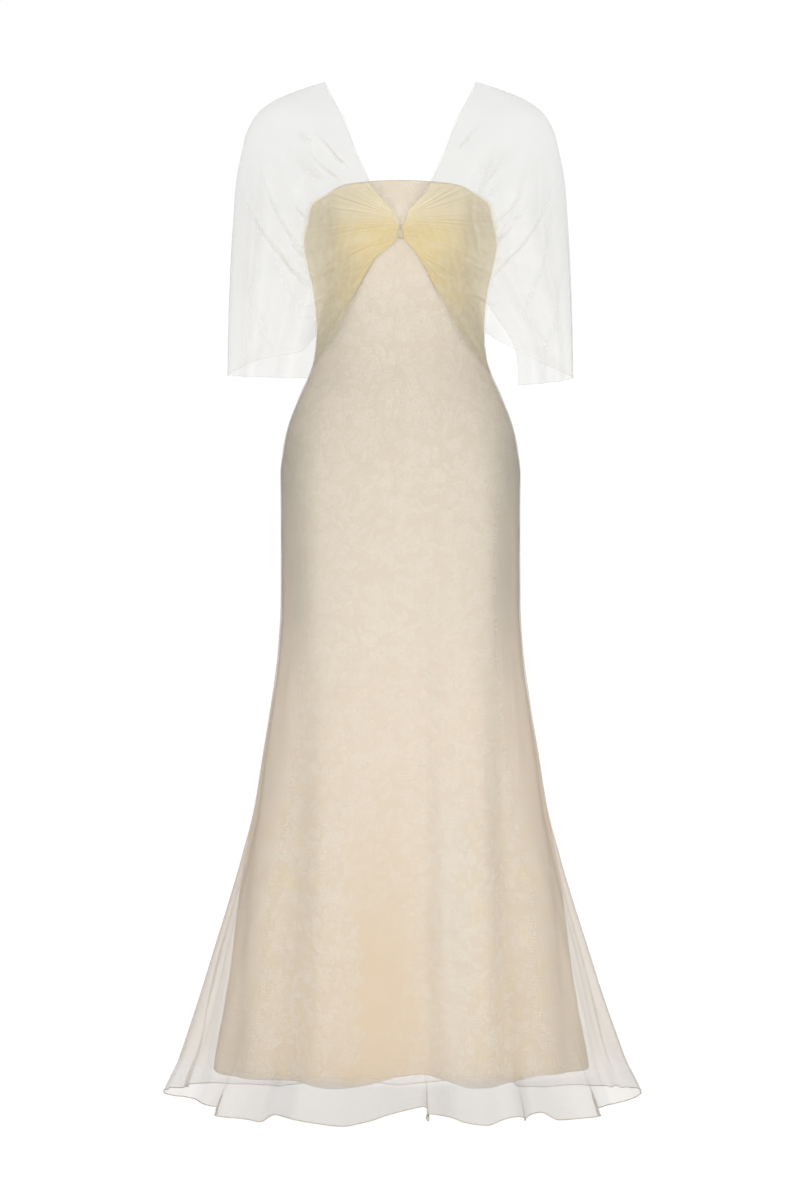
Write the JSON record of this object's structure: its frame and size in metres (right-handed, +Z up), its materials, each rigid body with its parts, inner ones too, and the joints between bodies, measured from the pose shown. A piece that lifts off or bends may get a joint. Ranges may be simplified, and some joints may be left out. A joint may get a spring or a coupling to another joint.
{
  "type": "lace evening dress",
  "caption": "Full-length strapless lace dress with a sheer flared overskirt and sheer draped sleeves gathered at the centre front, filled out as worn.",
  "frame": {"origin": "middle of the shoulder line, midway between the two points where the neckline meets the shoulder seams: where a wearer or a dress form holds the dress up", "axes": "+X to the side that is on the right in a front view, -Y out of the front of the dress, +Z up"},
  "size_m": [0.683, 0.5573, 1.4754],
  "materials": {
    "lace": "cream floral lace over a matt lining",
    "overskirt": "sheer ivory chiffon",
    "drape": "sheer pale yellow chiffon",
    "sleeve": "sheer off-white chiffon"
  },
  "bodies": {
    "root": {"lace_front": "lace", "lace_back_left": "lace", "lace_back_right": "lace", "overlay_front": "overskirt", "overlay_back_left": "overskirt", "overlay_back_right": "overskirt", "drape_front_left": "drape", "drape_front_right": "drape", "drape_back_left": "sleeve", "drape_back_right": "sleeve", "centre_tab": "drape"}
  },
  "joints": []
}
